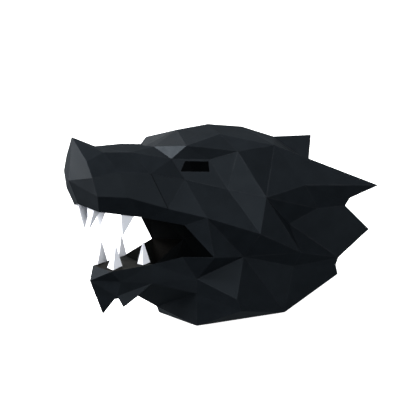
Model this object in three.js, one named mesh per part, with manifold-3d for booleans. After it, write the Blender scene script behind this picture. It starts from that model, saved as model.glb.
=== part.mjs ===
// A wolf's head mask folded from black card, with its jaws open and teeth of white card.
// Millimetres, +Z up. The nose points to -Y and the wolf's left side to +X.
// The mask stands on the rim of its neck.
import * as THREE from 'three';
import { mergeVertices } from 'three/addons/utils/BufferGeometryUtils.js';
import Module from 'manifold-3d';

const wasm = await Module();
wasm.setup();

// Card and glue
const CARD = 1.2;
const TOOTH_CARD = 0.9;
const JOINT = 0.4;
const TOOTH_SEAT = 0.4;

// Eye slot, measured along and below the fold under the brow, from the inner corner of the eye
const EYE_SLOT = { topFrom: 19, topTo: 52, bottomFrom: 12.5, bottomTo: 53.5, below: 2.5, height: 14.5, reach: 8 };

// How firmly a corner keeps still where the panels that meet there leave it free
const CORNER_SLACK = 0.01;
const EDGE_SLACK = 0.05;
const FLAT_HOLD = 1e6;

// Fold corners on the wolf's left: ahead towards the nose, out from the centre plane, up from the table
const NOSE_CORNERS = {
  nose_peak: { ahead: 199, out: 0, up: 277 },
  nose_front: { ahead: 204.5, out: 0, up: 245 },
  nose_base: { ahead: 210, out: 0, up: 220 },
  wing_top: { ahead: 195.5, out: 30, up: 247 },
  wing_mid: { ahead: 195.5, out: 42.5, up: 226 },
  wing_low: { ahead: 192.5, out: 46, up: 201 },
};
const MUZZLE_CORNERS = {
  bridge_start: { ahead: 166, out: 0, up: 259 },
  bridge_middle: { ahead: 127, out: 0, up: 256 },
  bridge_end: { ahead: 94, out: 0, up: 246 },
  bridge_edge_front: { ahead: 170, out: 30, up: 254.5 },
  bridge_edge_back: { ahead: 131, out: 33.5, up: 248.5 },
  muzzle_mid: { ahead: 158.5, out: 48.5, up: 228 },
  muzzle_seam: { ahead: 115.5, out: 54.5, up: 219.5 },
  muzzle_back: { ahead: 67.5, out: 59.5, up: 203.5 },
};
const LIP_CORNERS = {
  lip_front: { ahead: 200, out: 0, up: 186.5 },
  lip_corner: { ahead: 188, out: 36.5, up: 178 },
  lip_mid: { ahead: 151, out: 53.5, up: 193 },
  lip_seam: { ahead: 99, out: 62.5, up: 170 },
  lip_back: { ahead: 53, out: 84.5, up: 152 },
  lip_edge_mid: { ahead: 130.5, out: 42.5, up: 161.5 },
  lip_edge_seam: { ahead: 119, out: 45, up: 157.5 },
  lip_edge_back: { ahead: 77.5, out: 65.5, up: 144 },
  mouth_corner: { ahead: 49, out: 88, up: 97 },
};
const BROW_CORNERS = {
  forehead: { ahead: 41, out: 0, up: 261 },
  brow_inner: { ahead: 87, out: 16, up: 247 },
  brow_outer: { ahead: 59, out: 57, up: 248 },
  brow_end: { ahead: -9, out: 74, up: 231 },
  eye_inner: { ahead: 80, out: 50, up: 233 },
  socket_top: { ahead: 29, out: 62, up: 225 },
};
const CROWN_CORNERS = {
  crown: { ahead: -8, out: 0, up: 261 },
  crown_back: { ahead: -61, out: 0, up: 249 },
  crown_side: { ahead: -3, out: 40, up: 252 },
  nape: { ahead: -110, out: 0, up: 227 },
  nape_tip: { ahead: -172, out: 0, up: 219 },
  nape_side: { ahead: -137, out: 45, up: 192 },
};
const EAR_CORNERS = {
  ear_root: { ahead: -66, out: 75.5, up: 230 },
  ear_hollow: { ahead: -32.5, out: 99, up: 166.5 },
  ear_fold: { ahead: -93.5, out: 101.5, up: 173 },
  ear_tip: { ahead: -199, out: 121.5, up: 157 },
  ear_back: { ahead: -159, out: 109.5, up: 145 },
  ear_low: { ahead: -153, out: 105, up: 134.5 },
};
const CHEEK_CORNERS = {
  cheekbone: { ahead: 13, out: 76, up: 182.5 },
  cheek_point: { ahead: -14.5, out: 106, up: 120.5 },
  jaw_hub: { ahead: 1.5, out: 83.5, up: 88.5 },
  jowl_point: { ahead: -76.5, out: 105, up: 82.5 },
};
const MANE_CORNERS = {
  mane_root: { ahead: -113.5, out: 97, up: 136.5 },
  mane_valley: { ahead: -71.5, out: 88, up: 121.5 },
  mane_tip: { ahead: -185.5, out: 110, up: 96 },
  mane_back: { ahead: -153, out: 101.5, up: 72.5 },
  mane_low: { ahead: -140, out: 98, up: 62.5 },
};
const NECK_CORNERS = {
  neck_side: { ahead: -69.5, out: 93, up: 63 },
  neck_back_top: { ahead: -135.5, out: 96.5, up: 53 },
  neck_back: { ahead: -138, out: 95.5, up: 39 },
  jaw_point: { ahead: 24, out: 94.5, up: 35.5 },
  jaw_point_low: { ahead: 20, out: 96, up: 18.5 },
  foot_front: { ahead: 67, out: 54, up: 0 },
  foot_back: { ahead: -54, out: 86, up: 0 },
};
const JAW_CORNERS = {
  jaw_lip_front: { ahead: 174, out: 27, up: 92.5 },
  jaw_lip_mid: { ahead: 118.5, out: 40.5, up: 94 },
  jaw_lip_back: { ahead: 81, out: 58, up: 99 },
  jaw_front_low: { ahead: 162, out: 27.5, up: 76 },
  jaw_mid_low: { ahead: 120.5, out: 37.5, up: 67.5 },
  jaw_angle: { ahead: 64.5, out: 61, up: 66.5 },
  jaw_back_low: { ahead: 65, out: 58, up: 45.5 },
  tuft_notch: { ahead: 167, out: 23, up: 56.5 },
  tuft_point: { ahead: 161, out: 27, up: 40.5 },
  chin_lip: { ahead: 174, out: 0, up: 92.5 },
  chin_front: { ahead: 194, out: 0, up: 79.5 },
  chin_point: { ahead: 179.5, out: 0, up: 30 },
  chin_under: { ahead: 159, out: 0, up: 62 },
  under_jaw: { ahead: 124, out: 0, up: 44 },
  throat: { ahead: 97, out: 0, up: 24 },
  rim_front: { ahead: 67, out: 0, up: 0 },
  floor_front: { ahead: 146, out: 0, up: 101 },
  floor_back: { ahead: 112, out: 0, up: 87 },
};
const CORNERS = {
  ...NOSE_CORNERS,
  ...MUZZLE_CORNERS,
  ...LIP_CORNERS,
  ...BROW_CORNERS,
  ...CROWN_CORNERS,
  ...EAR_CORNERS,
  ...CHEEK_CORNERS,
  ...MANE_CORNERS,
  ...NECK_CORNERS,
  ...JAW_CORNERS,
};

// Panels of each piece on the left side, their corners in counter-clockwise order as seen from outside.
// A paired piece is made once for each side. Any other piece spans both sides.
const CARD_PIECES = [
  {
    name: 'nose',
    panels: ['nose_peak nose_front wing_top', 'nose_front nose_base wing_mid wing_top'],
  },
  {
    name: 'muzzle',
    panels: [
      'nose_peak wing_top bridge_edge_front bridge_start',
      'bridge_start bridge_edge_front bridge_edge_back bridge_middle',
      'bridge_middle bridge_edge_back brow_inner bridge_end',
      'wing_top wing_mid muzzle_mid bridge_edge_front',
      'bridge_edge_front muzzle_mid muzzle_seam bridge_edge_back',
      'eye_inner brow_inner bridge_edge_back muzzle_seam muzzle_back',
      'wing_mid wing_low lip_mid muzzle_mid',
      'muzzle_mid lip_mid lip_seam muzzle_seam',
      'nose_base wing_low wing_mid',
      'nose_base lip_front lip_corner wing_low',
      'wing_low lip_corner lip_edge_mid lip_mid',
      'lip_mid lip_edge_mid lip_edge_seam lip_seam',
    ],
  },
  {
    name: 'forehead',
    panels: [
      'forehead bridge_end brow_inner',
      'forehead brow_inner brow_outer',
      'forehead brow_outer crown_side crown',
    ],
  },
  {
    name: 'brow',
    paired: true,
    panels: [
      'brow_inner eye_inner brow_outer',
      'brow_outer brow_end crown_side',
      'brow_outer eye_inner socket_top brow_end',
    ],
  },
  {
    name: 'crown',
    panels: [
      'crown_back crown crown_side',
      'crown_back crown_side ear_root nape',
      'crown_side brow_end ear_root',
    ],
  },
  {
    name: 'temple',
    paired: true,
    panels: [
      'socket_top eye_inner muzzle_back cheekbone brow_end',
      'brow_end cheekbone ear_hollow ear_root',
    ],
  },
  {
    name: 'cheek',
    paired: true,
    panels: [
      'lip_seam lip_back muzzle_back muzzle_seam',
      'lip_seam lip_edge_seam lip_edge_back lip_back',
      'cheekbone muzzle_back lip_back cheek_point',
      'cheekbone cheek_point ear_hollow',
      'lip_back lip_edge_back mouth_corner',
      'lip_back mouth_corner jaw_hub',
      'lip_back jaw_hub cheek_point',
    ],
  },
  {
    name: 'ear',
    paired: true,
    panels: [
      'ear_root ear_hollow ear_fold',
      'ear_root ear_fold ear_tip',
      'ear_hollow mane_root ear_fold',
      'ear_fold mane_root ear_low ear_back ear_tip',
      'ear_root ear_tip nape_side',
    ],
  },
  {
    name: 'nape',
    panels: ['nape ear_root nape_side', 'nape nape_side nape_tip'],
  },
  {
    name: 'mane',
    paired: true,
    panels: [
      'ear_hollow cheek_point jowl_point',
      'cheek_point jaw_hub jowl_point',
      'ear_hollow jowl_point mane_valley',
      'ear_hollow mane_valley mane_root',
      'mane_valley jowl_point mane_low',
      'mane_root mane_valley mane_low',
      'mane_root mane_low mane_back mane_tip ear_low',
    ],
  },
  {
    name: 'neck',
    paired: true,
    panels: [
      'jaw_hub neck_side jowl_point',
      'jowl_point neck_side mane_low',
      'jaw_hub foot_back neck_side',
      'foot_back jaw_hub jaw_point jaw_point_low',
      'jaw_angle jaw_point jaw_hub',
      'jaw_angle jaw_back_low jaw_point_low jaw_point',
      'jaw_back_low foot_front jaw_point_low',
      'foot_front foot_back jaw_point_low',
      'neck_side foot_back neck_back neck_back_top mane_low',
    ],
  },
  {
    name: 'lower_jaw',
    panels: [
      'chin_front jaw_lip_front chin_lip',
      'chin_front chin_point tuft_notch jaw_front_low jaw_lip_front',
      'tuft_notch chin_point chin_under',
      'tuft_point tuft_notch chin_under under_jaw',
      'jaw_front_low tuft_notch jaw_mid_low jaw_lip_mid jaw_lip_front',
      'tuft_point under_jaw jaw_mid_low tuft_notch',
      'jaw_lip_mid jaw_mid_low jaw_angle jaw_lip_back',
      'jaw_mid_low jaw_back_low jaw_angle',
      'jaw_mid_low under_jaw throat jaw_back_low',
      'jaw_back_low throat foot_front',
      'throat rim_front foot_front',
      'jaw_lip_back jaw_angle mouth_corner',
      'mouth_corner jaw_angle jaw_hub',
    ],
  },
  {
    name: 'mouth_floor',
    panels: [
      'chin_lip jaw_lip_front floor_front',
      'jaw_lip_front jaw_lip_mid floor_front',
      'jaw_lip_mid floor_back floor_front',
    ],
  },
];

// Teeth on the left side: three corners of the base, in order round the tooth, and the tip.
// A lower tooth stands on the mouth floor, and an upper tooth hangs at the edge of the lip.
const LOWER_TEETH = [
  {
    name: 'tooth_lower_front',
    base: [{ ahead: 173, out: 14 }, { ahead: 170, out: 25 }, { ahead: 154, out: 21.5 }],
    tip: { ahead: 160, out: 21, up: 126 },
  },
  {
    name: 'tooth_lower_back',
    base: [{ ahead: 134, out: 27 }, { ahead: 130, out: 35.5 }, { ahead: 118, out: 34 }],
    tip: { ahead: 124, out: 31, up: 127 },
  },
];
const UPPER_TEETH = [
  {
    name: 'tooth_upper_front',
    base: [
      { ahead: 193.5, out: 13.5, up: 184.5 },
      { ahead: 174.5, out: 15.5, up: 175.5 },
      { ahead: 189.5, out: 27, up: 181 },
    ],
    tip: { ahead: 191, out: 6, up: 148.5 },
  },
  {
    name: 'tooth_upper_back',
    base: [
      { ahead: 156.5, out: 37.5, up: 170.5 },
      { ahead: 145.5, out: 24.5, up: 169.5 },
      { ahead: 137.5, out: 40, up: 164.5 },
    ],
    tip: { ahead: 155.5, out: 33.5, up: 138 },
  },
];
const TOOTH_PANEL = ['jaw_lip_front', 'jaw_lip_mid', 'floor_front'];

const SIDES = { left: 1, right: -1 };

const BLACK_CARD = { color: 0x1d2024, roughness: 0.78, metalness: 0 };
const WHITE_CARD = { color: 0xe6e4ec, roughness: 0.7, metalness: 0 };

// A corner is named once on the centre plane and once for each side elsewhere
function cornerId(name, side) {
  return CORNERS[name].out === 0 ? name : `${name}.${side}`;
}

function place({ ahead, out, up }, side = 'left') {
  return new THREE.Vector3(out * SIDES[side], -ahead, up);
}

function cornerPlace(id) {
  const [name, side] = id.split('.');
  return place(CORNERS[name], side);
}

// Each panel becomes a fan of triangles, turned over on the right side so that it still faces out
function trianglesOf(panels, side) {
  return panels.flatMap((panel) => {
    const ids = panel.split(' ').map((name) => cornerId(name, side));
    const fan = ids.slice(2).map((id, i) => [ids[0], ids[i + 1], id]);
    return side === 'left' ? fan : fan.map(([a, b, c]) => [a, c, b]);
  });
}

function edgeKey(a, b) {
  return a < b ? `${a} ${b}` : `${b} ${a}`;
}

// The edges of a piece in their own direction, listed by the pair of corners that they join
function edgesOf(triangles) {
  const edges = new Map();
  for (const triangle of triangles) {
    triangle.forEach((a, i) => {
      const b = triangle[(i + 1) % 3];
      const key = edgeKey(a, b);
      edges.set(key, [...(edges.get(key) ?? []), { a, b, triangle }]);
    });
  }
  return edges;
}

// The rim is made of the edges that belong to one triangle only
function rimOf(triangles) {
  return [...edgesOf(triangles).values()].filter((uses) => uses.length === 1).map(([edge]) => edge);
}

function facing(triangle, places) {
  const [a, b, c] = triangle.map((id) => places.get(id));
  return b.clone().sub(a).cross(c.clone().sub(a)).normalize();
}

// The smallest move that goes the asked distance along every asked direction, by least squares
function moveToMeet(demands, slack) {
  const sums = Array(9).fill(0);
  const goal = new THREE.Vector3();
  for (const { direction, distance, weight } of demands) {
    const d = direction.toArray();
    sums.forEach((_, i) => {
      sums[i] += weight * d[Math.floor(i / 3)] * d[i % 3];
    });
    goal.addScaledVector(direction, weight * distance);
  }
  const total = demands.reduce((sum, { weight }) => sum + Math.min(weight, 1), 0);
  [0, 4, 8].forEach((i) => {
    sums[i] += slack * total;
  });
  return goal.applyMatrix3(new THREE.Matrix3().set(...sums).invert());
}

// A corner on a flat rim keeps to that rim's plane
function heldFlat(id, flatRims) {
  return flatRims.has(id) ? [{ direction: flatRims.get(id), distance: 0, weight: FLAT_HOLD }] : [];
}

// How far each corner's inner face lies from its outer face, so that every panel there is one card thick
function insetsOf(triangles, places, thickness, flatRims) {
  const demands = new Map();
  for (const triangle of triangles) {
    const direction = facing(triangle, places);
    triangle.forEach((id, i) => {
      const along = places.get(triangle[(i + 1) % 3]).clone().sub(places.get(id));
      const back = places.get(triangle[(i + 2) % 3]).clone().sub(places.get(id));
      const demand = { direction, distance: -thickness, weight: along.angleTo(back) };
      demands.set(id, [...(demands.get(id) ?? []), demand]);
    });
  }
  return new Map([...demands].map(([id, asked]) => {
    return [id, moveToMeet([...asked, ...heldFlat(id, flatRims)], CORNER_SLACK)];
  }));
}

// How far each corner of a piece stands back from the edges that it shares with its neighbours
function setbacksOf(triangles, places, sharedEdges, flatRims) {
  const demands = new Map();
  for (const { a, b, triangle } of rimOf(triangles)) {
    if (!sharedEdges.has(edgeKey(a, b))) continue;
    const along = places.get(b).clone().sub(places.get(a)).normalize();
    const direction = facing(triangle, places).cross(along);
    for (const id of [a, b]) {
      demands.set(id, [...(demands.get(id) ?? []), { direction, distance: JOINT / 2, weight: 1 }]);
    }
  }
  return new Map([...demands].map(([id, asked]) => {
    return [id, moveToMeet([...asked, ...heldFlat(id, flatRims)], EDGE_SLACK)];
  }));
}

// A folded sheet as a closed wall: outer faces, inner faces turned over, and the cut edge round the rim
function sheetGeometry(triangles, outer, insets) {
  const ids = [...new Set(triangles.flat())];
  const inner = ids.map((id) => outer.get(id).clone().add(insets.get(id)));
  const outside = new Map(ids.map((id, i) => [id, i]));
  const inside = new Map(ids.map((id, i) => [id, i + ids.length]));
  const faces = triangles.flatMap(([a, b, c]) => [
    [outside.get(a), outside.get(b), outside.get(c)],
    [inside.get(a), inside.get(c), inside.get(b)],
  ]);
  for (const { a, b } of rimOf(triangles)) {
    const [outA, outB] = [outside.get(a), outside.get(b)];
    const [inA, inB] = [inside.get(a), inside.get(b)];
    if (a < b) faces.push([outB, outA, inB], [outA, inA, inB]);
    else faces.push([outB, outA, inA], [outB, inA, inB]);
  }
  const geometry = new THREE.BufferGeometry();
  geometry.setFromPoints([...ids.map((id) => outer.get(id)), ...inner]);
  geometry.setIndex(faces.flat());
  return geometry;
}

function toSolid(geometry) {
  const vertProperties = new Float32Array(geometry.getAttribute('position').array);
  const triVerts = new Uint32Array(geometry.getIndex().array);
  return new wasm.Manifold(new wasm.Mesh({ numProp: 3, vertProperties, triVerts }));
}

function toGeometry(solid) {
  const { vertProperties, triVerts } = solid.getMesh();
  const geometry = new THREE.BufferGeometry();
  geometry.setAttribute('position', new THREE.BufferAttribute(vertProperties, 3));
  geometry.setIndex([...triVerts]);
  return geometry;
}

// The prism that cuts the eye slot, standing across the eye panel
function eyeSlotGeometry(side) {
  const inner = cornerPlace(cornerId('eye_inner', side));
  const along = cornerPlace(cornerId('socket_top', side)).sub(inner).normalize();
  const towardsCheek = cornerPlace(cornerId('cheekbone', side)).sub(inner);
  const across = along.clone().cross(towardsCheek).normalize();
  const below = across.clone().cross(along);
  const { topFrom, topTo, bottomFrom, bottomTo, below: top, height, reach } = EYE_SLOT;
  const outline = new THREE.Shape([
    new THREE.Vector2(topFrom, top),
    new THREE.Vector2(topTo, top),
    new THREE.Vector2(bottomTo, top + height),
    new THREE.Vector2(bottomFrom, top + height),
  ]);
  const prism = new THREE.ExtrudeGeometry(outline, { depth: 2 * reach, bevelEnabled: false });
  prism.translate(0, 0, -reach);
  prism.applyMatrix4(new THREE.Matrix4().makeBasis(along, below, across).setPosition(inner));
  prism.deleteAttribute('normal');
  prism.deleteAttribute('uv');
  return mergeVertices(prism);
}

function pieceMesh(name, geometry, finish) {
  const mesh = new THREE.Mesh(geometry, new THREE.MeshStandardMaterial({ ...finish, flatShading: true }));
  mesh.name = name;
  return mesh;
}

// Card pieces, with the triangles of both sides in a piece that isn't one of a pair
function cardSheets() {
  return CARD_PIECES.flatMap(({ name, paired, panels }) => {
    const left = trianglesOf(panels, 'left');
    const right = trianglesOf(panels, 'right');
    if (!paired) return [{ name, triangles: [...left, ...right] }];
    return [
      { name: `${name}_left`, side: 'left', triangles: left },
      { name: `${name}_right`, side: 'right', triangles: right },
    ];
  });
}

function cardMeshes() {
  const sheets = cardSheets();
  const whole = sheets.flatMap(({ triangles }) => triangles);
  const places = new Map([...new Set(whole.flat())].map((id) => [id, cornerPlace(id)]));
  const table = new THREE.Vector3(0, 0, 1);
  const flatRims = new Map([...places].filter(([, at]) => at.z === 0).map(([id]) => [id, table]));
  const insets = insetsOf(whole, places, CARD, flatRims);
  const shared = [...edgesOf(whole)].filter(([, uses]) => uses.length === 2);
  const sharedEdges = new Set(shared.map(([key]) => key));
  return sheets.map(({ name, side, triangles }) => {
    const setbacks = setbacksOf(triangles, places, sharedEdges, flatRims);
    const still = new THREE.Vector3();
    const outer = new Map([...places].map(([id, at]) => [id, at.clone().add(setbacks.get(id) ?? still)]));
    const sheet = sheetGeometry(triangles, outer, insets);
    if (!name.startsWith('temple')) return pieceMesh(name, sheet, BLACK_CARD);
    const slot = eyeSlotGeometry(side);
    return pieceMesh(name, toGeometry(toSolid(sheet).subtract(toSolid(slot))), BLACK_CARD);
  });
}

// The height of the mouth floor's side panel under a tooth, with the gap of its glued seat
function seatHeight({ ahead, out }) {
  const [a, b, c] = TOOTH_PANEL.map((name) => place(CORNERS[name]));
  const { normal, constant } = new THREE.Plane().setFromCoplanarPoints(a, b, c);
  return -(normal.x * out - normal.y * ahead + constant) / normal.z + TOOTH_SEAT;
}

// A tooth is a hollow three-sided point, open at the base where it is glued on
function toothMesh({ name, base, tip }, side) {
  const places = new Map(base.map((corner, i) => [`base ${i}`, place(corner, side)]));
  places.set('tip', place(tip, side));
  const round = [[0, 1], [1, 2], [2, 0]].map(([i, j]) => [`base ${i}`, `base ${j}`, 'tip']);
  const ring = round.map(([id]) => places.get(id));
  const flat = new THREE.Plane().setFromCoplanarPoints(...ring).normal;
  const outward = flat.dot(places.get('tip').clone().sub(ring[0])) > 0;
  const triangles = outward ? round : round.map(([a, b, c]) => [b, a, c]);
  const flatRims = new Map(round.map(([id]) => [id, flat]));
  const insets = insetsOf(triangles, places, TOOTH_CARD, flatRims);
  return pieceMesh(`${name}_${side}`, sheetGeometry(triangles, places, insets), WHITE_CARD);
}

function teethMeshes() {
  const seated = LOWER_TEETH.map((tooth) => ({
    ...tooth,
    base: tooth.base.map((corner) => ({ ...corner, up: seatHeight(corner) })),
  }));
  const teeth = [...UPPER_TEETH, ...seated];
  return teeth.flatMap((tooth) => Object.keys(SIDES).map((side) => toothMesh(tooth, side)));
}

// The origin lies on the table under the middle of the mask
const pieces = [...cardMeshes(), ...teethMeshes()];
const mask = new THREE.Group();
mask.add(...pieces);
const middle = new THREE.Box3().setFromObject(mask).getCenter(new THREE.Vector3());
pieces.forEach(({ geometry }) => geometry.translate(-middle.x, -middle.y, 0));

export default mask;
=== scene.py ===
"""A wolf mask folded from black card, with white card teeth, standing on a pale table."""

import math

import bpy
import numpy as np
from mathutils import Matrix, Vector


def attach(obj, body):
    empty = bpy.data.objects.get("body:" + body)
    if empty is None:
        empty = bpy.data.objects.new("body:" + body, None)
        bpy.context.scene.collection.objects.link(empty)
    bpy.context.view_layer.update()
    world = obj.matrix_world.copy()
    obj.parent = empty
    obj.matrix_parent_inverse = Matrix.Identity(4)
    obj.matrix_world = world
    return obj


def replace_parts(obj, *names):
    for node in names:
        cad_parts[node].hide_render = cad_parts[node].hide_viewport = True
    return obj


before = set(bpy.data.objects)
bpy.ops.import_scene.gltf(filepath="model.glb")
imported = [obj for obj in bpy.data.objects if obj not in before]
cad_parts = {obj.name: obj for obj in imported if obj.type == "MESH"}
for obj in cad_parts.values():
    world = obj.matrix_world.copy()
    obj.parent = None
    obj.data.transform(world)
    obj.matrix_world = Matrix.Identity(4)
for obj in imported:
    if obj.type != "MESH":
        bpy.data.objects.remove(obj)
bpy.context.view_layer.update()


# The neck: two mirrored sheets of black card under the cheeks, pleated into a ruff.
# Their lower edge stands on the table, and their upper edge is glued to cheek and mane.


def put(tree, kind, sockets, **properties):
    """A new shader node with the named properties. Each socket, by name or number, is set to a value
    or fed by another socket."""
    node = tree.nodes.new("ShaderNode" + kind)
    for name, value in properties.items():
        setattr(node, name, value)
    for name, value in sockets.items():
        if isinstance(value, bpy.types.NodeSocket):
            tree.links.new(value, node.inputs[name])
        else:
            node.inputs[name].default_value = value
    return node


def new_group(name, inputs, outputs):
    """An empty shader node group with those sockets, its input node and its output node."""
    group = bpy.data.node_groups.new(name, "ShaderNodeTree")
    for label, kind in inputs:
        group.interface.new_socket(label, in_out="INPUT", socket_type="NodeSocket" + kind)
    for label, kind in outputs:
        group.interface.new_socket(label, in_out="OUTPUT", socket_type="NodeSocket" + kind)
    return group, group.nodes.new("NodeGroupInput").outputs, group.nodes.new("NodeGroupOutput").inputs


def add(tree, first, second):
    """The sum of two values."""
    return put(tree, "Math", {0: first, 1: second}, operation="ADD").outputs[0]


def times(tree, first, second):
    """The product of two values."""
    return put(tree, "Math", {0: first, 1: second}, operation="MULTIPLY").outputs[0]


def noise(tree, place, scale, detail):
    """Soft noise between 0 and 1, with about scale waves to the metre and detail finer layers on them."""
    return put(tree, "TexNoise", {"Vector": place, "Scale": scale, "Detail": detail}).outputs["Fac"]


def ramp(tree, value, low, high, to_low, to_high):
    """The value carried from the range low to high onto the range to_low to to_high, with eased ends,
    and held beyond them."""
    sockets = {"Value": value, "From Min": low, "From Max": high, "To Min": to_low, "To Max": to_high}
    return put(tree, "MapRange", sockets, interpolation_type="SMOOTHSTEP").outputs[0]


# Grain of the card: short fibres a millimetre long, and panels that are not quite flat.
grain, taken, given = new_group(
    "card_grain", [("Place", "Vector")], [("Tone", "Float"), ("Height", "Float")]
)
fibre_waves, cloud_waves, bow_waves = 900.0, 60.0, 12.0
fibre_height, bow_height = 0.00005, 0.003
fibres = noise(grain, taken["Place"], fibre_waves, 4.0)
clouds = noise(grain, taken["Place"], cloud_waves, 3.0)
bowing = noise(grain, taken["Place"], bow_waves, 1.0)
tone = add(grain, times(grain, fibres, 0.5), times(grain, clouds, 0.5))
height = add(grain, times(grain, fibres, fibre_height), times(grain, bowing, bow_height))
grain.links.new(tone, given["Tone"])
grain.links.new(height, given["Height"])

# Wear of the folds: where card is creased or cut its dye is cracked, in patches along the line.
wear, taken, given = new_group(
    "fold_wear", [("Fold", "Vector"), ("Place", "Vector"), ("Amount", "Float")], [("Worn", "Float")]
)
worn_within, worn_out_to = 0.0002, 0.0016
patch_waves, crack_waves = 40.0, 800.0
each = put(wear, "SeparateXYZ", {0: taken["Fold"]}).outputs
nearest = put(wear, "Math", {0: each[0], 1: each[1]}, operation="MINIMUM").outputs[0]
nearest = put(wear, "Math", {0: nearest, 1: each[2]}, operation="MINIMUM").outputs[0]
line = ramp(wear, nearest, worn_within, worn_out_to, 1.0, 0.0)
patches = ramp(wear, noise(wear, taken["Place"], patch_waves, 3.0), 0.38, 0.66, 0.25, 1.0)
cracks = ramp(wear, noise(wear, taken["Place"], crack_waves, 2.0), 0.35, 0.65, 0.3, 1.0)
worn = times(wear, times(wear, line, patches), times(wear, cracks, taken["Amount"]))
wear.links.new(worn, given["Worn"])


def card(name, dark, pale, worn, amount, shine):
    """Matt card: its colour wanders from dark to pale with the grain, and goes to worn along folds and cut
    edges."""
    smooth, rough = 0.46, 0.58
    material = bpy.data.materials.new(name)
    material.use_nodes = True
    tree = material.node_tree
    surface = tree.nodes["Principled BSDF"].inputs
    surface["Specular IOR Level"].default_value = shine
    surface["Specular Tint"].default_value = (0.75, 0.88, 1.0, 1)
    place = put(tree, "TexCoord", {}).outputs["Object"]
    fold = put(tree, "Attribute", {}, attribute_name="fold_distance").outputs["Vector"]
    grained = put(tree, "Group", {}, node_tree=grain)
    tree.links.new(place, grained.inputs["Place"])
    worn_at = put(tree, "Group", {}, node_tree=wear)
    tree.links.new(place, worn_at.inputs["Place"])
    tree.links.new(fold, worn_at.inputs["Fold"])
    worn_at.inputs["Amount"].default_value = amount
    tone = ramp(tree, grained.outputs["Tone"], 0.35, 0.65, 0.0, 1.0)
    dyed = put(tree, "Mix", {0: tone, 6: dark, 7: pale}, data_type="RGBA").outputs[2]
    colour = put(tree, "Mix", {0: worn_at.outputs["Worn"], 6: dyed, 7: worn}, data_type="RGBA").outputs[2]
    bump = put(tree, "Bump", {"Height": grained.outputs["Height"], "Distance": 1.0})
    tree.links.new(colour, surface["Base Color"])
    tree.links.new(ramp(tree, grained.outputs["Tone"], 0.3, 0.7, smooth, rough), surface["Roughness"])
    tree.links.new(bump.outputs[0], surface["Normal"])
    return material


dyed_dark, dyed_pale = (0.0033, 0.0042, 0.0054, 1), (0.0047, 0.0060, 0.0077, 1)
inside_dark, inside_pale = (0.0035, 0.0036, 0.0036, 1), (0.0050, 0.0051, 0.0050, 1)
cracked, inside_cracked = (0.016, 0.017, 0.020, 1), (0.016, 0.016, 0.016, 1)
dyed_shine = 0.133
black_card = card("black_card", dyed_dark, dyed_pale, cracked, amount=0.2, shine=dyed_shine)
card_back = card("card_back", inside_dark, inside_pale, inside_cracked, amount=0.2, shine=0.08)
card_crease = 0.00012


def folded(name, hollow, face, back, round_by):
    """The sheet of one CAD node as a joined shell. Equal corners become one, and each cut edge is drawn
    towards its neighbour. Every corner of a triangle carries its distance to the three sides, those that
    lie flat left out. The side that looks towards the point hollow takes the second material."""
    drawn, cut_edge_width = 0.00023, 0.0017
    lies_flat, creased = math.radians(2), math.radians(8)
    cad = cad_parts[name].data
    places = np.empty(3 * len(cad.vertices), np.float32)
    cad.vertices.foreach_get("co", places)
    order = np.empty(len(cad.loops), np.int32)
    cad.loops.foreach_get("vertex_index", order)
    places, merged = np.unique(places.reshape(-1, 3).round(6), axis=0, return_inverse=True)
    faces = merged.reshape(-1)[order].reshape(-1, 3)
    corners = places[faces].astype(float)
    sides = np.roll(corners, -1, axis=1) - corners
    across = np.cross(sides[:, 0], sides[:, 1])
    double_area = np.linalg.norm(across, axis=1)
    facing = across / double_area[:, None]
    heights = double_area[:, None] / np.linalg.norm(sides, axis=2)
    ends = np.sort(np.stack([faces, np.roll(faces, -1, axis=1)], axis=-1), axis=-1).reshape(-1, 2)
    edges = np.unique(ends, axis=0, return_inverse=True)[1].reshape(-1)
    both = np.zeros((edges.max() + 1, 3))
    np.add.at(both, edges, np.repeat(facing, 3, axis=0))
    flat = (np.linalg.norm(both, axis=1)[edges] > 2 * math.cos(lies_flat)).reshape(-1, 3)
    distance = np.zeros((len(faces), 3, 3), np.float32)
    distance[:, [2, 0, 1], [0, 1, 2]] = heights
    distance += flat[:, None, :]
    rim = heights.min(axis=1) < cut_edge_width
    push = np.zeros(places.shape)
    np.add.at(push, faces[rim].reshape(-1), np.repeat(facing[rim], 3, axis=0))
    places = places + drawn * push / np.maximum(np.linalg.norm(push, axis=1), 1e-9)[:, None]
    places[:, 2] = np.maximum(places[:, 2], 0)
    mesh = bpy.data.meshes.new(name + "_card")
    mesh.from_pydata(places.tolist(), [], faces.tolist())
    fold_distance = mesh.attributes.new("fold_distance", "FLOAT_VECTOR", "CORNER")
    fold_distance.data.foreach_set("vector", distance.reshape(-1))
    mesh.materials.append(face)
    mesh.materials.append(back)
    looks_in = ((np.array(hollow) - corners.mean(axis=1)) * facing).sum(axis=1) > 0
    mesh.polygons.foreach_set("material_index", looks_in.astype(np.int32))
    piece = bpy.data.objects.new(name + "_card", mesh)
    bpy.context.scene.collection.objects.link(piece)
    bevel = piece.modifiers.new("creases", "BEVEL")
    bevel.width = round_by
    bevel.segments = 2
    bevel.limit_method = "ANGLE"
    bevel.angle_limit = creased
    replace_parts(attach(piece, "root"), name)
    return piece


in_neck = (0, 0.02, 0.12)
for neck in ("neck_left", "neck_right"):
    folded(neck, in_neck, black_card, card_back, card_crease)


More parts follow.
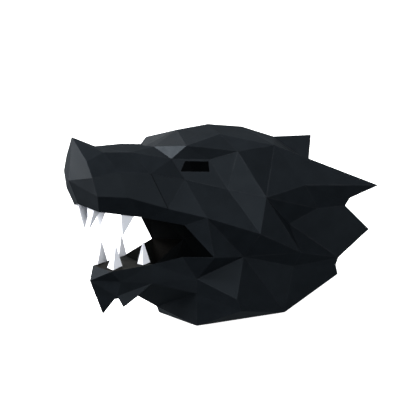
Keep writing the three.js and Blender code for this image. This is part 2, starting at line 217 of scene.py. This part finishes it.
# The lower jaw: chin, chin tufts, sides and throat from one sheet of black card.
# It is glued to the neck behind and to the corners of the mouth above.
# Its uncoated side shows grey from behind the chin to the throat. Ahead of the chin and towards the throat
# the grey is darkened with painted shade.
grey_dark, grey_pale = (0.013, 0.013, 0.0117, 1), (0.022, 0.022, 0.0203, 1)
grey_worn, grey_painted_shade = (0.045, 0.045, 0.042, 1), (0.0075, 0.0070, 0.0064, 1)
grey_from, grey_full, grey_fades, grey_ends = -0.153, -0.150, -0.090, -0.058
jaw_back = card("jaw_back", grey_dark, grey_pale, grey_worn, amount=0.3, shine=0.03)
tree = jaw_back.node_tree
surface = tree.nodes["Principled BSDF"].inputs
place = put(tree, "TexCoord", {}).outputs["Object"]
depth = put(tree, "SeparateXYZ", {0: place}).outputs[1]
# Painted shade: outside the band from behind the chin to the throat, the grey is mixed down to a darker
# colour.
past_chin = ramp(tree, depth, grey_from, grey_full, 0.0, 1.0)
before_throat = ramp(tree, depth, grey_fades, grey_ends, 1.0, 0.0)
clear_of_painted_shade = times(tree, past_chin, before_throat)
grey = surface["Base Color"].links[0].from_socket
with_painted_shade = put(tree, "Mix", {0: clear_of_painted_shade, 6: grey_painted_shade, 7: grey}, data_type="RGBA").outputs[2]
tree.links.new(with_painted_shade, surface["Base Color"])
in_mouth = (0, -0.06, 0.10)
folded("lower_jaw", in_mouth, black_card, jaw_back, card_crease)


# The floor of the mouth: a panel of the same card folded along the middle, with its uncoated grey side up.
# Its edges are glued inside the lip of the lower jaw.
under_mouth = (0, -0.10, 0.02)
folded("mouth_floor", under_mouth, jaw_back, black_card, card_crease)


# The lower teeth: four points of white card folded along the middle, two on each side.
# Each stands on the floor of the mouth, glued at its base.
white_dark, white_pale, white_worn = (0.72, 0.73, 0.78, 1), (0.79, 0.80, 0.85, 1), (0.82, 0.82, 0.86, 1)
white_card = card("white_card", white_dark, white_pale, white_worn, amount=0.5, shine=0.1)
tooth_crease = 0.00004
for tooth in ("front_left", "front_right", "back_left", "back_right"):
    folded("tooth_lower_" + tooth, under_mouth, white_card, white_card, tooth_crease)


# The cheeks: black card from the seam on the muzzle back to the cheek point, and down to the mouth's corner.
# They are glued to neck and mane below and behind, and butt against the muzzle in front.
# The seam there shows as a dark line: painted shade standing in for the shadow in its gap, where the card is
# also made fully matt.
across_seam, seam_start, seam_end = (0, 0.948, 0.316), -0.0347, -0.0333
seam_foot, seam_full = 0.168, 0.170
seam_painted_shade = (0.0005, 0.0005, 0.0006, 1)
seam_shaded_card = card("seam_shaded_card", dyed_dark, dyed_pale, cracked, amount=0.2, shine=dyed_shine)
tree = seam_shaded_card.node_tree
surface = tree.nodes["Principled BSDF"].inputs
place = put(tree, "TexCoord", {}).outputs["Object"]
# Painted shade along the seam: a narrow band beside the seam line, above its foot, is mixed to near black and
# made fully rough.
along = put(tree, "VectorMath", {0: place, 1: across_seam}, operation="DOT_PRODUCT").outputs["Value"]
height = put(tree, "SeparateXYZ", {0: place}).outputs[2]
beside = ramp(tree, along, seam_start, seam_end, 1.0, 0.0)
above = ramp(tree, height, seam_foot, seam_full, 0.0, 1.0)
seam_shade_mask = times(tree, beside, above)
plain = surface["Base Color"].links[0].from_socket
with_painted_shade = put(tree, "Mix", {0: seam_shade_mask, 6: plain, 7: seam_painted_shade}, data_type="RGBA").outputs[2]
tree.links.new(with_painted_shade, surface["Base Color"])
matt = surface["Roughness"].links[0].from_socket
tree.links.new(put(tree, "Mix", {0: seam_shade_mask, 2: matt, 3: 1.0}).outputs[0], surface["Roughness"])
between_cheeks = (0, -0.02, 0.17)
for cheek in ("cheek_left", "cheek_right"):
    folded(cheek, between_cheeks, seam_shaded_card, card_back, card_crease)


# The muzzle and nose: the bridge, sides and turned-under lip from one sheet, closed in front by the nose.
# The muzzle's rear edge is glued to the cheeks and the forehead.
in_muzzle, behind_nose = (0, -0.12, 0.20), (0, -0.10, 0.21)
folded("muzzle", in_muzzle, black_card, card_back, card_crease)
folded("nose", behind_nose, black_card, card_back, card_crease)


# The upper teeth: four points of white card, folded like the lower ones.
# They hang from the turned-under lip of the muzzle, glued at their bases.
over_mouth = (0, -0.10, 0.25)
for tooth in ("front_left", "front_right", "back_left", "back_right"):
    folded("tooth_upper_" + tooth, over_mouth, white_card, white_card, tooth_crease)


# The temples and brows: the eye panel with its cut slot, the temple behind it, and the ridge over the eye.
# All are black card, glued edge to edge. The temple's long fold is rubbed paler than the others.
rubbed = (0.024, 0.025, 0.028, 1)
rubbed_card = card("rubbed_card", dyed_dark, dyed_pale, rubbed, amount=0.4, shine=dyed_shine)
between_temples, between_brows = (0, 0.0, 0.18), (0, -0.01, 0.2)
for temple in ("temple_left", "temple_right"):
    folded(temple, between_temples, rubbed_card, card_back, card_crease)
for brow in ("brow_left", "brow_right"):
    folded(brow, between_brows, black_card, card_back, card_crease)


# The forehead, crown and nape: the facets of black card over the top of the head, down to the tuft behind it.
# Each is one sheet that spans both sides, glued to brows, temples and ears along its edges.
in_skull = (0, 0.03, 0.18)
for top in ("forehead", "crown", "nape"):
    folded(top, in_skull, black_card, card_back, card_crease)


# The ears and the mane: the ears are long points laid back, the mane is pleated tufts between ear and neck.
# Both are black card, rubbed along their ridges, and glued to temple, cheek and neck.
between_ears = (0, 0.05, 0.17)
for side in ("ear_left", "ear_right", "mane_left", "mane_right"):
    folded(side, between_ears, rubbed_card, card_back, card_crease)


# The table: a plain pale sheet that runs out of the picture, lit through from below like a light table,
# so that the shadow on it is faint. It throws no light back on the mask.
reach, level = 12.0, -0.0005
table_mesh = bpy.data.meshes.new("table")
table_mesh.from_pydata(
    [(-reach, -reach, level), (reach, -reach, level), (reach, reach, level), (-reach, reach, level)],
    [],
    [(0, 1, 2, 3)],
)
table = bpy.data.objects.new("table", table_mesh)
bpy.context.scene.collection.objects.link(table)
table.visible_diffuse = False
table.visible_glossy = False
paper = bpy.data.materials.new("table_paper")
paper.use_nodes = True
tree = paper.node_tree
surface = tree.nodes["Principled BSDF"].inputs
place = put(tree, "TexCoord", {}).outputs["Object"]
mottle = noise(tree, place, 30.0, 2.0)
paper_dark, paper_pale = (0.93, 0.93, 0.93, 1), (0.95, 0.95, 0.95, 1)
shade = put(tree, "Mix", {0: mottle, 6: paper_dark, 7: paper_pale}, data_type="RGBA").outputs[2]
tree.links.new(shade, surface["Base Color"])
surface["Roughness"].default_value = 0.9
surface["Emission Color"].default_value = (1, 1, 1, 1)
surface["Emission Strength"].default_value = 0.93
table_mesh.materials.append(paper)


# The light: soft square panels round the mask, by far the strongest one high in front of it,
# and weaker ones low on both sides. A dim cool sky fills the shadows.
sky = bpy.data.worlds.new("sky")
bpy.context.scene.world = sky
sky.use_nodes = True
sky.node_tree.nodes["Background"].inputs["Color"].default_value = (0.8, 0.92, 1.0, 1)
sky.node_tree.nodes["Background"].inputs["Strength"].default_value = 0.205
middle = Vector((0, 0, 0.14))
panels = {
    # name: turn to the wolf's left and rise in degrees, distance and side in metres, watts
    "overhead": (0, 88, 2.5, 3.0, 11),
    "far_low": (-45, 8, 3.0, 1.0, 52),
    "front_low": (-25, 8, 3.0, 1.0, 19),
    "near_low": (75, 8, 3.0, 1.0, 40),
    "left_low": (105, 8, 3.0, 1.0, 15),
    "right_low": (-100, 28, 3.0, 1.2, 7),
    "front_high": (-15, 50, 3.0, 1.6, 250),
    "back_high": (135, 50, 3.0, 1.6, 4),
}
for name, (turn, rise, away, side, watts) in panels.items():
    turn, rise = math.radians(turn), math.radians(rise)
    lamp = bpy.data.lights.new(name, "AREA")
    lamp.shape = "SQUARE"
    lamp.size = side
    lamp.energy = watts
    holder = bpy.data.objects.new(name, lamp)
    toward = Vector((math.sin(turn) * math.cos(rise), -math.cos(turn) * math.cos(rise), math.sin(rise)))
    aimed = toward.to_track_quat("Z", "Y").to_matrix().to_4x4()
    holder.matrix_world = Matrix.Translation(middle + away * toward) @ aimed
    bpy.context.scene.collection.objects.link(holder)


# The camera: a long lens three metres away, ahead of the wolf's left shoulder and a little above it,
# leaning with the mask so that the table line is not level.
aim = (0, 0.0055, 0.141)
lean, turn, tilt = math.radians(-5.8), math.radians(60), math.radians(81)
stand_off = (-0.0004, 0.0005, 3.0)
lens = bpy.data.cameras.new("camera")
lens.sensor_width = 36.0
lens.lens = 186.6
camera = bpy.data.objects.new("camera", lens)
camera.matrix_world = (
    Matrix.Translation(aim)
    @ Matrix.Rotation(lean, 4, "X")
    @ Matrix.Rotation(turn, 4, "Z")
    @ Matrix.Rotation(tilt, 4, "X")
    @ Matrix.Translation(stand_off)
)
bpy.context.scene.collection.objects.link(camera)
bpy.context.scene.camera = camera
bpy.context.scene.view_settings.view_transform = "Standard"
